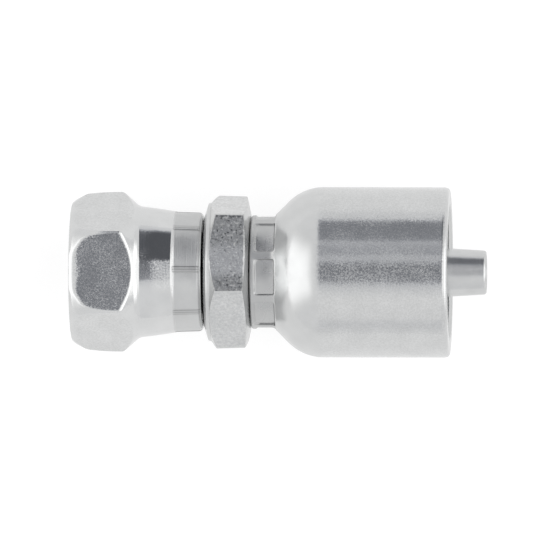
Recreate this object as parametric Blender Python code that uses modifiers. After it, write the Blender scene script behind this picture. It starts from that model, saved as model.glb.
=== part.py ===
"""Crimp hose fitting: a swivel nut, a hose nipple and a ferrule, all of zinc-plated steel.

Metres, +Z up. The fitting lies along X, with the nut's open thread towards -X and the hose
tail towards +X. The origin is on its axis, half way along its length.

Each piece is turned from a profile of (place, radius) points. A place is measured along the
axis from the nut's front face towards the tail. An angle round the axis is counted from
straight up (+Z) towards +Y.
"""
import math

import bmesh
import bpy
from mathutils import Matrix, Vector

# Turned surfaces
NUT_FACETS = 48
NIPPLE_FACETS = 36
FERRULE_FACETS = 48
ARC_STEPS = 6                     # chords in a large arc of a profile
CUTTER_MARGIN = 0.001             # how far a hexagon reaches past the blank that it shapes

# Clearances between the pieces
SWIVEL_GAP = 0.0003               # nut to nipple, along the axis and across the shoulder
NECK_CLEARANCE = 0.00025          # nut collar to nipple neck
HEAD_CLEARANCE = 0.00025          # nipple head to thread crests
STAKED_GAP = 0.0003               # ferrule to nipple

# Swivel nut
NUT_FLATS = 0.01746               # across flats, 11/16 inch
NUT_HEX_LENGTH = 0.00632          # front face to the corners' rear ends
NUT_CROWN_RADIUS = 0.0059         # rounded chamfer on the front corners
NUT_CROWN_SLOPE = math.radians(47)
NUT_CROWN_START = 0.00033         # how far the crown starts inside the flats
NUT_REAR_SLOPE = math.radians(42)
CORNER_MARGIN = 0.0001            # the blank's radius past the hexagon's corners
THREAD_CREST_RADIUS = 0.00645     # minor radius of the 9/16-18 internal thread
THREAD_ROOT_RADIUS = 0.00715
MOUTH_COUNTERSINK_DEPTH = 0.0007
SLEEVE_WALL = 0.00174             # wall behind the hexagon, at its thick end
SLEEVE_LENGTH = 0.00427
SLEEVE_TAPER = 0.00054            # fall in radius along the sleeve
CRIMP_STEP = 0.0001               # step where the jaws stopped
COLLAR_LENGTH = 0.0037
COLLAR_WALL = 0.0024
COLLAR_TAPER = 0.00015
COLLAR_CHAMFER_LENGTH = 0.0005
COLLAR_CHAMFER_DEPTH = 0.00063
COLLAR_BORE_LENGTH = 0.0026
SHOULDER_SLOPE = math.radians(45)
JAW_COUNT = 8
JAW_TURN = math.radians(2.5)
JAW_RIDGE_RADIUS = 0.00035
JAW_RIDGE_HEIGHT = 0.0001

# Hose nipple, from its head to its tail
NECK_RADIUS = 0.0049
HEAD_LENGTH = 0.0059
HEAD_EDGE = 0.00025
SEAT_RIM = 0.00025                # flat rim between the seat's mouth and the head's edge
SEAT_HALF_ANGLE = math.radians(37)
BORE_RADIUS = 0.0021
HEX_FLATS = 0.01746
HEX_TURN = math.radians(16.1)
BOSS_RADIUS = 0.00677             # flat that faces the nut
DISH_LENGTH = 0.00036             # shallow cone from that flat to the land
LAND_INSET = 0.00002              # land below the flats
LAND_LENGTH = 0.00039
HEX_CHAMFER_SLOPE = math.radians(59)
HEX_LENGTH = 0.00435              # land to the hexagon's rear corners
HEX_REAR_EDGE = 0.00016
HEX_BACK_RADIUS = 0.00696         # flat that faces the ferrule
HEX_BACK_LENGTH = 0.00036
SPIGOT_RADIUS = 0.0049            # seat of the ferrule's neck
GROOVE_OFFSET = 0.00213           # ferrule's front face to the middle of the locking groove
GROOVE_WIDTH = 0.0021
GROOVE_DEPTH = 0.00055
GROOVE_SLOPE = math.radians(54)
SPIGOT_END = 0.0041               # hexagon's back to the end of the spigot
TAIL_STEP_LENGTH = 0.0010
BARB_CREST_RADIUS = 0.0033
BARB_ROOT_RADIUS = 0.00285
BARB_PITCH = 0.0025
BARB_FACE = 0.00018
NOSE_RADIUS = 0.0031              # plain tapered end of the tail
TIP_RADIUS = 0.00276
NOSE_LENGTH = 0.0058
TAIL_REACH = 0.00458              # tail's tip past the ferrule's mouth
TIP_CHAMFER = 0.0002

# Ferrule
NECK_WALL = 0.00192
LIP_LENGTH = 0.0005
LIP_CHAMFER = 0.00015
POCKET_LENGTH = 0.00256
POCKET_DEPTH = 0.00016
POCKET_COUNT = 8
POCKET_TURN = math.radians(-5.4)
POCKET_RIDGE_ANGLE = math.radians(8)
DOME_SLOPE = math.radians(45)
DOME_RADIUS = 0.0062
SOCKET_RADIUS = 0.00835           # room for the hose
FERRULE_WALL = 0.00235
FERRULE_LENGTH = 0.02483
FERRULE_EDGE = 0.0004
MOUTH_CHAMFER = 0.00035
LAND_HEIGHT = 0.00025             # rings inside that grip the hose
LAND_CREST = 0.0006
LAND_PITCH = 0.0035
LANDS_START = 0.0022              # from the dome's inner end
LANDS_END = 0.0028                # from the mouth

# Plating, as a bright grey that differs a little from piece to piece
NUT_COLOUR = (0.66, 0.665, 0.665, 1.0)
NIPPLE_COLOUR = (0.61, 0.615, 0.615, 1.0)
FERRULE_COLOUR = (0.62, 0.625, 0.625, 1.0)
PLATING_ROUGHNESS = 0.24

# Radii that follow from the sizes above
nut_corner_radius = NUT_FLATS / math.sqrt(3)
hex_corner_radius = HEX_FLATS / math.sqrt(3)
head_radius = THREAD_CREST_RADIUS - HEAD_CLEARANCE
collar_bore_radius = NECK_RADIUS + NECK_CLEARANCE
collar_radius = collar_bore_radius + COLLAR_WALL
sleeve_radius = THREAD_CREST_RADIUS + SLEEVE_WALL
neck_bore_radius = SPIGOT_RADIUS + STAKED_GAP
neck_outer_radius = neck_bore_radius + NECK_WALL
ferrule_radius = SOCKET_RADIUS + FERRULE_WALL

# Places that follow from the sizes above
nut_blank_radius = nut_corner_radius + CORNER_MARGIN
sleeve_start = NUT_HEX_LENGTH + (nut_blank_radius - sleeve_radius) / math.tan(NUT_REAR_SLOPE)
collar_start = sleeve_start + SLEEVE_LENGTH
nut_end = collar_start + COLLAR_LENGTH
collar_bore_start = nut_end - COLLAR_BORE_LENGTH
shoulder_shift = SWIVEL_GAP / math.sin(SHOULDER_SLOPE)
head_end = (collar_bore_start - shoulder_shift
            - (head_radius - collar_bore_radius) / math.tan(SHOULDER_SLOPE))
head_start = head_end - HEAD_LENGTH
boss_start = nut_end + SWIVEL_GAP
land_start = boss_start + DISH_LENGTH
hex_start = land_start + LAND_LENGTH
hex_end = hex_start + HEX_LENGTH
hex_back = hex_end + HEX_BACK_LENGTH
ferrule_start = hex_back + STAKED_GAP
groove_middle = ferrule_start + GROOVE_OFFSET
ferrule_end = ferrule_start + FERRULE_LENGTH
tail_end = ferrule_end + TAIL_REACH
middle = tail_end / 2


def arc(start, slope_in, slope_out, radius, steps):
    """Points of an arc from `start`, as its slope to the axis goes from slope_in to slope_out.

    The slope falls along an arc that bulges outwards and rises along one that is hollow.
    """
    place, height = start
    bend = 1 if slope_in > slope_out else -1
    points = []
    for step in range(steps + 1):
        slope = slope_in + (slope_out - slope_in) * step / steps
        along = bend * radius * (math.sin(slope_in) - math.sin(slope))
        up = bend * radius * (math.cos(slope) - math.cos(slope_in))
        points.append((place + along, height + up))
    return points


def new_object(name, mesh, collection, x):
    """An object for a mesh, with its own origin on the fitting's axis at `x`."""
    made = bpy.data.objects.new(name, mesh)
    made.location = (x, 0, 0)
    collection.objects.link(made)
    return made


def turned(name, outside, inside, facets, turn):
    """A turned ring: the outside and inside profiles both run from the nut end to the tail end.

    The middle of a facet, and not an edge between two, faces the angle `turn`.
    """
    profile = list(reversed(outside)) + list(inside)
    mesh = bpy.data.meshes.new(name)
    shaper = bmesh.new()
    angle = turn + math.pi / facets
    corners = []
    for place, radius in profile:
        corner = (place, radius * math.sin(angle), radius * math.cos(angle))
        corners.append(shaper.verts.new(corner))
    for here, after in zip(corners, corners[1:] + corners[:1]):
        shaper.edges.new((here, after))
    shaper.to_mesh(mesh)
    shaper.free()
    made = new_object(name, mesh, fitting, -middle)
    lathe = made.modifiers.new("Turning", "SCREW")
    lathe.axis = "X"
    lathe.steps = facets
    lathe.render_steps = facets
    lathe.use_merge_vertices = True
    lathe.merge_threshold = 0.000001
    return made


def hexagon(name, flats, start, end, turn):
    """A hexagonal bar along the axis, one of its flats facing the angle `turn`."""
    mesh = bpy.data.meshes.new(name)
    shaper = bmesh.new()
    corner_radius = flats / math.sqrt(3)
    bmesh.ops.create_cone(shaper, cap_ends=True, segments=6, radius1=corner_radius,
                          radius2=corner_radius, depth=end - start)
    shaper.verts.ensure_lookup_table()
    first = shaper.verts[0].co
    to_corner = math.atan2(first.y, first.x)
    upright = Matrix.Rotation(math.radians(30) - to_corner, 4, "Z")
    along_x = Matrix.Rotation(math.radians(-90), 4, "Y") @ upright
    shaper.transform(Matrix.Rotation(-turn, 4, "X") @ along_x)
    shaper.transform(Matrix.Translation(((start + end) / 2, 0, 0)))
    shaper.to_mesh(mesh)
    shaper.free()
    return new_object(name, mesh, cutters, -middle)


def shaped_by(piece, tool, operation):
    """Cuts, joins or trims a piece with a tool that isn't part of the fitting."""
    tool.display_type = "WIRE"
    tool.hide_render = True
    step = piece.modifiers.new(tool.name, "BOOLEAN")
    step.operation = operation
    step.object = tool
    step.solver = "EXACT"


def plated(piece, colour):
    """Gives a piece its own bright zinc plating."""
    finish = bpy.data.materials.new(piece.name + "_plating")
    finish.use_nodes = True
    shader = finish.node_tree.nodes["Principled BSDF"]
    shader.inputs["Base Color"].default_value = colour
    shader.inputs["Metallic"].default_value = 1.0
    shader.inputs["Roughness"].default_value = PLATING_ROUGHNESS
    piece.data.materials.append(finish)


def jaw_ridges():
    """The eight thin ridges that the crimping jaws left along the collar, where they met."""
    mesh = bpy.data.meshes.new("jaw_ridges")
    shaper = bmesh.new()
    front = collar_start + JAW_RIDGE_RADIUS
    back = nut_end - COLLAR_CHAMFER_LENGTH - JAW_RIDGE_RADIUS
    fall = math.atan2(COLLAR_TAPER, COLLAR_LENGTH)
    depth = JAW_RIDGE_RADIUS - JAW_RIDGE_HEIGHT
    centre_radius = collar_radius - COLLAR_TAPER / 2 - depth
    for jaw in range(JAW_COUNT):
        angle = JAW_TURN + jaw * 2 * math.pi / JAW_COUNT
        bar = bmesh.ops.create_cone(shaper, cap_ends=True, segments=8, radius1=JAW_RIDGE_RADIUS,
                                    radius2=JAW_RIDGE_RADIUS, depth=back - front)
        laid = Matrix.Rotation(math.radians(90) + fall, 4, "Y")
        set_out = Matrix.Translation(((front + back) / 2, 0, centre_radius))
        round_axis = Matrix.Rotation(-angle, 4, "X")
        bmesh.ops.transform(shaper, matrix=round_axis @ set_out @ laid, verts=bar["verts"])
    shaper.to_mesh(mesh)
    shaper.free()
    return new_object("jaw_ridges", mesh, cutters, -middle)


def swivel_nut():
    """Hexagonal nut whose rear sleeve is crimped down behind the nipple's head."""
    front_radius = NUT_FLATS / 2 - NUT_CROWN_START
    crown_rise = nut_blank_radius - front_radius
    crown_end = math.acos(min(1.0, math.cos(NUT_CROWN_SLOPE) + crown_rise / NUT_CROWN_RADIUS))
    outside = arc((0.0, front_radius), NUT_CROWN_SLOPE, crown_end, NUT_CROWN_RADIUS, ARC_STEPS)
    outside += [
        (NUT_HEX_LENGTH, outside[-1][1]),
        (sleeve_start, sleeve_radius),
        (collar_start, sleeve_radius - SLEEVE_TAPER),
        (collar_start + CRIMP_STEP, collar_radius),
        (nut_end - COLLAR_CHAMFER_LENGTH, collar_radius - COLLAR_TAPER),
        (nut_end, collar_radius - COLLAR_TAPER - COLLAR_CHAMFER_DEPTH),
    ]
    shoulder_rise = THREAD_CREST_RADIUS - collar_bore_radius
    inside = [
        (0.0, THREAD_ROOT_RADIUS),
        (MOUTH_COUNTERSINK_DEPTH, THREAD_CREST_RADIUS),
        (collar_bore_start - shoulder_rise / math.tan(SHOULDER_SLOPE), THREAD_CREST_RADIUS),
        (collar_bore_start, collar_bore_radius),
        (nut_end, collar_bore_radius),
    ]
    nut = turned("swivel_nut", outside, inside, NUT_FACETS, 0.0)
    bar = hexagon("nut_bar", NUT_FLATS, -CUTTER_MARGIN, nut_end + CUTTER_MARGIN, 0.0)
    shaped_by(nut, bar, "INTERSECT")
    shaped_by(nut, jaw_ridges(), "UNION")
    plated(nut, NUT_COLOUR)


def barbs(start, end):
    """Saw-toothed rings: each rises steeply on its nut side and runs down towards the tip."""
    points = []
    count = int((end - start) / BARB_PITCH)
    for barb in range(count):
        foot = start + barb * BARB_PITCH
        points += [(foot, BARB_ROOT_RADIUS), (foot + BARB_FACE, BARB_CREST_RADIUS)]
    points.append((start + count * BARB_PITCH, BARB_ROOT_RADIUS))
    return points


def hose_nipple():
    """Flared head, neck, wrench hexagon, spigot and barbed tail, turned in one from hexagonal bar."""
    seat_mouth_radius = head_radius - HEAD_EDGE - SEAT_RIM
    neck_start = head_end + (head_radius - NECK_RADIUS) / math.tan(SHOULDER_SLOPE)
    land_radius = HEX_FLATS / 2 - LAND_INSET
    blank_radius = hex_corner_radius + CORNER_MARGIN
    chamfer_length = (blank_radius - land_radius) / math.tan(HEX_CHAMFER_SLOPE)
    groove_bottom = SPIGOT_RADIUS - GROOVE_DEPTH
    groove_side = GROOVE_DEPTH / math.tan(GROOVE_SLOPE)
    tail_start = hex_back + SPIGOT_END + TAIL_STEP_LENGTH
    nose_start = tail_end - NOSE_LENGTH
    outside = [
        (head_start, head_radius - HEAD_EDGE),
        (head_start + HEAD_EDGE, head_radius),
        (head_end, head_radius),
        (neck_start, NECK_RADIUS),
        (boss_start, NECK_RADIUS),
        (boss_start, BOSS_RADIUS),
        (land_start, land_radius),
        (hex_start, land_radius),
        (hex_start + chamfer_length, blank_radius),
        (hex_end - HEX_REAR_EDGE, blank_radius),
        (hex_end, blank_radius - 2 * HEX_REAR_EDGE),
        (hex_back, HEX_BACK_RADIUS),
        (hex_back, SPIGOT_RADIUS),
        (groove_middle - GROOVE_WIDTH / 2, SPIGOT_RADIUS),
        (groove_middle - GROOVE_WIDTH / 2 + groove_side, groove_bottom),
        (groove_middle + GROOVE_WIDTH / 2 - groove_side, groove_bottom),
        (groove_middle + GROOVE_WIDTH / 2, SPIGOT_RADIUS),
        (hex_back + SPIGOT_END, SPIGOT_RADIUS),
    ]
    outside += barbs(tail_start, nose_start)
    outside += [
        (nose_start, NOSE_RADIUS),
        (tail_end - TIP_CHAMFER, TIP_RADIUS),
        (tail_end, TIP_RADIUS - TIP_CHAMFER),
    ]
    seat_depth = (seat_mouth_radius - BORE_RADIUS) / math.tan(SEAT_HALF_ANGLE)
    inside = [
        (head_start, seat_mouth_radius),
        (head_start + seat_depth, BORE_RADIUS),
        (tail_end - TIP_CHAMFER, BORE_RADIUS),
        (tail_end, BORE_RADIUS + TIP_CHAMFER),
    ]
    nipple = turned("hose_nipple", outside, inside, NIPPLE_FACETS, HEX_TURN)
    bar = hexagon("nipple_bar", HEX_FLATS, head_start - CUTTER_MARGIN, tail_end + CUTTER_MARGIN,
                  HEX_TURN)
    shaped_by(nipple, bar, "INTERSECT")
    plated(nipple, NIPPLE_COLOUR)


def pocket_ridges():
    """The lands left standing between the eight pockets of the staked neck."""
    mesh = bpy.data.meshes.new("pocket_ridges")
    shaper = bmesh.new()
    width = 2 * neck_outer_radius * math.sin(POCKET_RIDGE_ANGLE / 2)
    facet_fall = neck_outer_radius * (1 - math.cos(math.pi / FERRULE_FACETS))
    top = neck_outer_radius - 2 * facet_fall
    bottom = neck_outer_radius - NECK_WALL / 2
    length = POCKET_LENGTH + LIP_LENGTH
    centre = Vector((ferrule_start + LIP_LENGTH + POCKET_LENGTH / 2, 0, (top + bottom) / 2))
    half_turn = math.pi / POCKET_COUNT
    for ridge in range(POCKET_COUNT):
        angle = POCKET_TURN + half_turn + ridge * 2 * half_turn
        block = bmesh.ops.create_cube(shaper, size=1.0)
        sized = Matrix.Diagonal((length, width, top - bottom, 1))
        placed = Matrix.Rotation(-angle, 4, "X") @ Matrix.Translation(centre) @ sized
        bmesh.ops.transform(shaper, matrix=placed, verts=block["verts"])
    shaper.to_mesh(mesh)
    shaper.free()
    return new_object("pocket_ridges", mesh, cutters, -middle)


def grip_rings(start, end):
    """Rings inside the socket that bite the hose cover, as (place, radius) points."""
    points = []
    crest_radius = SOCKET_RADIUS - LAND_HEIGHT
    count = int((end - start) / LAND_PITCH) + 1
    for ring in range(count):
        foot = start + ring * LAND_PITCH
        points += [
            (foot, SOCKET_RADIUS),
            (foot + LAND_HEIGHT, crest_radius),
            (foot + LAND_HEIGHT + LAND_CREST, crest_radius),
            (foot + 2 * LAND_HEIGHT + LAND_CREST, SOCKET_RADIUS),
        ]
    return points


def ferrule():
    """Bottle-shaped sleeve, open at the hose end, its neck staked into the nipple's groove."""
    pocket_start = ferrule_start + LIP_LENGTH
    pocket_end = pocket_start + POCKET_LENGTH
    floor_radius = neck_outer_radius - POCKET_DEPTH
    slope_rise = math.tan(DOME_SLOPE)
    neck_corner = pocket_end - POCKET_DEPTH
    dome_drop = DOME_RADIUS * (1 - math.cos(DOME_SLOPE))
    cone_end_radius = ferrule_radius - dome_drop
    cone_end = neck_corner + (cone_end_radius - neck_outer_radius) / slope_rise
    outside = [
        (ferrule_start, neck_outer_radius - LIP_CHAMFER),
        (ferrule_start + LIP_CHAMFER, neck_outer_radius),
        (pocket_start, neck_outer_radius),
        (pocket_start + POCKET_DEPTH / 2, floor_radius),
        (pocket_end - POCKET_DEPTH / 2, floor_radius),
        (pocket_end, neck_outer_radius + POCKET_DEPTH * slope_rise),
    ]
    outside += arc((cone_end, cone_end_radius), DOME_SLOPE, 0.0, DOME_RADIUS, ARC_STEPS)
    outside += arc((ferrule_end - FERRULE_EDGE, ferrule_radius), 0.0, math.radians(-90),
                   FERRULE_EDGE, ARC_STEPS // 2)
    inner_dome_radius = DOME_RADIUS - FERRULE_WALL
    inner_cone_end = cone_end + FERRULE_WALL * math.sin(DOME_SLOPE)
    inner_cone_radius = cone_end_radius - FERRULE_WALL * math.cos(DOME_SLOPE)
    inner_cone_start = inner_cone_end - (inner_cone_radius - neck_bore_radius) / slope_rise
    bead_radius = SPIGOT_RADIUS - GROOVE_DEPTH + STAKED_GAP
    bead_side = (neck_bore_radius - bead_radius) / math.tan(GROOVE_SLOPE)
    bead_inset = STAKED_GAP / math.sin(GROOVE_SLOPE)
    bead_half = GROOVE_WIDTH / 2 - bead_inset + STAKED_GAP / math.tan(GROOVE_SLOPE)
    inside = [
        (ferrule_start, neck_bore_radius),
        (groove_middle - bead_half, neck_bore_radius),
        (groove_middle - bead_half + bead_side, bead_radius),
        (groove_middle + bead_half - bead_side, bead_radius),
        (groove_middle + bead_half, neck_bore_radius),
        (inner_cone_start, neck_bore_radius),
    ]
    dome_inside = arc((inner_cone_end, inner_cone_radius), DOME_SLOPE, 0.0, inner_dome_radius,
                      ARC_STEPS // 2)
    inside += dome_inside
    inside += grip_rings(dome_inside[-1][0] + LANDS_START, ferrule_end - LANDS_END)
    inside += [
        (ferrule_end - MOUTH_CHAMFER, SOCKET_RADIUS),
        (ferrule_end, SOCKET_RADIUS + MOUTH_CHAMFER),
    ]
    sleeve = turned("ferrule", outside, inside, FERRULE_FACETS, 0.0)
    shaped_by(sleeve, pocket_ridges(), "UNION")
    plated(sleeve, FERRULE_COLOUR)


for leftover in list(bpy.data.objects):
    bpy.data.objects.remove(leftover, do_unlink=True)
fitting = bpy.data.collections.new("crimp_hose_fitting")
cutters = bpy.data.collections.new("cutters")
for group in (fitting, cutters):
    bpy.context.scene.collection.children.link(group)

swivel_nut()
hose_nipple()
ferrule()
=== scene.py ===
import math

import bpy
import numpy as np
from mathutils import Matrix, Vector


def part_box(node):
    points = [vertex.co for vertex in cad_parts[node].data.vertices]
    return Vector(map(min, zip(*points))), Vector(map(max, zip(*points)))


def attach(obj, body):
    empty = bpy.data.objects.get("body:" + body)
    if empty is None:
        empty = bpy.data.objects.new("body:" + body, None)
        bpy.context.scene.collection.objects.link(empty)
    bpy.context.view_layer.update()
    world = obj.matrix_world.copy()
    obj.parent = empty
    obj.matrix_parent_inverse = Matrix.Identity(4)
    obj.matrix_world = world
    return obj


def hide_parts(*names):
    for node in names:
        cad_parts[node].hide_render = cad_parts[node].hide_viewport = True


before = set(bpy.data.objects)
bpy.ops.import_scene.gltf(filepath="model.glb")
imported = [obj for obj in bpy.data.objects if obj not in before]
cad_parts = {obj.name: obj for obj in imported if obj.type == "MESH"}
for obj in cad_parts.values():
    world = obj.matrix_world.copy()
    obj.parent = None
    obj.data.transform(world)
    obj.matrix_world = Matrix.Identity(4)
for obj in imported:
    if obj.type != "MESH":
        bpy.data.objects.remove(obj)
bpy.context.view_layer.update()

MM = 0.001
TURN = 2 * math.pi

# Hose nipple
# The core of the fitting, one piece of steel turned from hexagonal bar: a head with a 37 degree
# seat, a neck for the nut, the wrench hexagon, a grooved spigot for the ferrule and a barbed tail.
nipple_low, nipple_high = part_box("hose_nipple")
nut_low, nut_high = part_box("swivel_nut")
ferrule_low, ferrule_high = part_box("ferrule")
HEAD_START = nipple_low.x
TAIL_END = nipple_high.x
NUT_BACK = nut_high.x
FERRULE_START = ferrule_low.x
FERRULE_END = ferrule_high.x

PIECE_GAP = 0.3 * MM
HEAD_LENGTH = 5.9 * MM
HEAD_RADIUS = 6.2 * MM
HEAD_EDGE = 0.25 * MM
SEAT_MOUTH_RADIUS = 5.7 * MM
SEAT_HALF_ANGLE = math.radians(37)
BORE_RADIUS = 2.1 * MM
NECK_RADIUS = 4.9 * MM
FACE_GAP = 0.1 * MM               # to the nut in front and to the ferrule behind
BOSS_RADIUS = 6.85 * MM           # flat that faces the nut
DISH_LENGTH = 0.56 * MM           # shallow cone from that flat to the land
LAND_LENGTH = 0.39 * MM
LAND_RISE = 0.075 * MM            # how much it still rises towards the hexagon
LAND_INSET = 0.02 * MM
HEX_FLATS = 17.46 * MM
HEX_TURN = math.radians(16.1)
HEX_CHAMFER_SLOPE = math.radians(59)
HEX_DRAFT = 0.013                 # how much smaller the hexagon is at its rear, as a share
STREAK_PAINTED_DARKNESS = 0.3                     # share of colour taken off in two streaks of painted darker reflection on its upper flat
HEX_REAR_EDGE = 0.16 * MM
HEX_BACK_RADIUS = 7.1 * MM
HEX_BACK_LENGTH = 0.58 * MM
CORNER_MARGIN = 0.1 * MM          # the turned blank's radius past the hexagon's corners
HEX_CORNER_EASING = 0.4 * MM
CREASE_EASING = 0.10 * MM         # where a turned chamfer meets a flat
SPIGOT_RADIUS = 4.9 * MM
SPIGOT_LENGTH = 3.9 * MM
GROOVE_OFFSET = 2.13 * MM         # ferrule's front face to the middle of the groove
GROOVE_WIDTH = 2.1 * MM
GROOVE_DEPTH = 0.55 * MM
GROOVE_SLOPE = math.radians(54)
TAIL_STEP_LENGTH = 1.0 * MM
BARB_CREST_RADIUS = 3.3 * MM
BARB_ROOT_RADIUS = 2.85 * MM
BARB_PITCH = 2.5 * MM
BARB_FACE = 0.18 * MM
NOSE_RADIUS = 3.1 * MM
NOSE_LENGTH = 5.8 * MM
TIP_RADIUS = 2.76 * MM
TIP_CHAMFER = 0.2 * MM
KEEN_EASING = 0.05 * MM           # easings of turned corners, from the keenest to the widest
CRISP_EASING = 0.06 * MM
PLAIN_EASING = 0.08 * MM
EDGE_EASING = 0.1 * MM
MILD_EASING = 0.12 * MM
SOFT_EASING = 0.15 * MM
ROUND_EASING = 0.2 * MM
WIDE_EASING = 0.3 * MM
EASED_SHARE = 0.45                # of a side, the most that a corner's easing takes
GUARD_OF_EASING = 0.25            # one more point lies past each end of an easing, by the lesser
GUARD_OF_SIDE = 0.04              # of these shares of the easing and of a side
SEAM = 0.05 * MM                  # space between the last row of one stretch and the next's first
ROW_SPACING = 0.4 * MM
TAIL_SPACING = 1.2 * MM
PROFILE_SPACING = 0.03 * MM       # of points on a profile that rows are read from later
NIPPLE_COLUMNS = 180
HEX_OFFSETS = (0.3, 0.8, 1.4, 2.2)    # degrees from each corner at which there are more columns
LEAST_TURN = math.radians(0.08)   # columns lie no nearer together than this
HALF_FLAT = math.pi / 6           # turn from the middle of a hexagon's flat to its corner
ROLLED_FADE = (0.01 * MM, 0.08 * MM)  # depth off a flat over which its rolled finish ends
STREAK_DEPTH = 0.05 * MM          # depth off the flat at which the streaks end
UPPER_STREAK = (0.0, 0.35)        # where each sets in, from the flat's middle, 0, to its corner, 1
LOWER_STREAK = (0.45, 0.75)
NOISE_MIDDLE = (0.5, 0.5, 0.5)
NOISE_SPAN = (0.35, 0.65)         # most of a noise lies between these
CLOUD_SPAN = (0.3, 0.7)
CLOUD_SCALE = 420                 # scales are features to the metre, shares are features to a
CLOUD_LEVELS = (0.95, 1.0)        # grain, and levels are what the noise's span is carried to
SPECK_SHARE = 0.7
SPECK_LEVELS = (0.04, -0.04)
FROSTING_SHARE = 0.8
FROSTING_LEVELS = (-0.35, 0.7)
SMEAR_SCALE = 260                 # smears change the roughness, patches the speckle
SMEAR_LEVELS = (0.85, 1.2)
PATCH_SCALE = 330
PATCH_LEVELS = (0.6, 1.2)
SCORING_STRETCH = (7000, 200, 200)
SWELL_SCALE = 240


def smooth_step(low, high, value):
    """0 below `low`, 1 above `high`, and 3t squared less 2t cubed in between."""
    t = np.clip((value - low) / (high - low), 0, 1)
    return t * t * (3 - 2 * t)


def soft_min(a, b, width):
    """The lesser of two, less a quarter of (width less their distance) squared over the width."""
    return np.minimum(a, b) - np.maximum(width - np.abs(a - b), 0) ** 2 / (4 * width)


def angles_round(turn, count, *finer):
    """Even angles of a full turn that start at `turn`. Each finer pair adds angles at some
    offsets, in degrees either way, from each of its marks."""
    runs = [turn + np.arange(count) * TURN / count]
    for marks, offsets in finer:
        for offset in np.radians(offsets):
            runs += [marks - offset, marks + offset]
    together = np.sort(np.concatenate(runs) % TURN)
    apart = np.diff(np.append(together, together[0] + TURN))
    return together[apart > LEAST_TURN]


def hexagon_radius(angles, flats, turn, easing):
    """Distance from the axis to a hexagon: half the flats over the cosine of the turn from the
    nearest flat, eased at each corner with the next flat's."""
    local = (angles - turn + HALF_FLAT) % (2 * HALF_FLAT) - HALF_FLAT
    nearest = flats / 2 / np.cos(local)
    next_one = flats / 2 / np.cos(2 * HALF_FLAT - np.abs(local))
    return soft_min(nearest, next_one, easing)


def eased(corners, spacing, steps=4):
    """A profile through (place, radius, easing) corners. Each corner is a parabola that touches
    both sides within its easing, and the sides have points no further apart than the spacing."""
    places = np.array([corner[:2] for corner in corners], float)
    easings = [corner[2] for corner in corners[1:]]
    runs = [places[:1]]
    for before, here, after, easing in zip(places, places[1:], places[2:], easings):
        back = np.linalg.norm(before - here)
        ahead = np.linalg.norm(after - here)
        reach = min(easing, EASED_SHARE * back, EASED_SHARE * ahead)
        first = here + (before - here) * reach / back
        last = here + (after - here) * reach / ahead
        t = np.linspace(0, 1, steps + 1)[:, None]
        bend = (1 - t) ** 2 * first + 2 * t * (1 - t) * here + t ** 2 * last
        guard = min(GUARD_OF_EASING * reach, GUARD_OF_SIDE * back, GUARD_OF_SIDE * ahead)
        runs += [first[None, :] + (before - here) * guard / back, bend,
                 last[None, :] + (after - here) * guard / ahead]
    runs.append(places[-1:])
    rough = np.concatenate(runs)
    length = np.append(0, np.cumsum(np.linalg.norm(np.diff(rough, axis=0), axis=1)))
    between = [np.linspace(a, b, max(1, math.ceil((b - a) / spacing)), endpoint=False)
               for a, b in zip(length[:-1], length[1:])]
    dense = np.append(np.concatenate(between), length[-1])
    return np.interp(dense, length, rough[:, 0]), np.interp(dense, length, rough[:, 1])


def spread(values, angles):
    """A row for each value, the same at every angle."""
    return np.repeat(values[:, None], len(angles), axis=1)


def hexagon_skin(front, back, hexagon, front_easing, back_easing):
    """Rows over a hexagon between two turned faces. Each row keeps to its own share of the way
    to where the front face meets the flat, along the flat, or on from where the back face meets it."""
    front_x, front_radius = front
    back_x, back_radius = back
    front_crease = np.interp(hexagon, front_radius, front_x)[None, :]
    back_crease = np.interp(hexagon, back_radius[::-1], back_x[::-1])[None, :]
    to_crease = 0.5 - 0.5 * np.cos(np.linspace(0, math.pi, 21))[:, None]
    past_front = 0.16 * np.linspace(0.08, 1, 9) ** 1.3
    over_flat = np.linspace(0.26, 0.86, 7)
    before_back = 1 - 0.08 * np.linspace(1, 0.1, 6) ** 1.3
    along = np.concatenate([past_front, over_flat, before_back])[:, None]
    from_crease = np.linspace(0, 1, 12)[:, None] ** 1.6
    x = np.concatenate([front_x[0] + to_crease * (front_crease - front_x[0]),
                        front_crease + along * (back_crease - front_crease),
                        back_crease + from_crease * (back_x[-1] - back_crease)])
    radius = soft_min(hexagon[None, :], np.interp(x, front_x, front_radius), front_easing)
    return x, soft_min(radius, np.interp(x, back_x, back_radius), back_easing)


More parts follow.
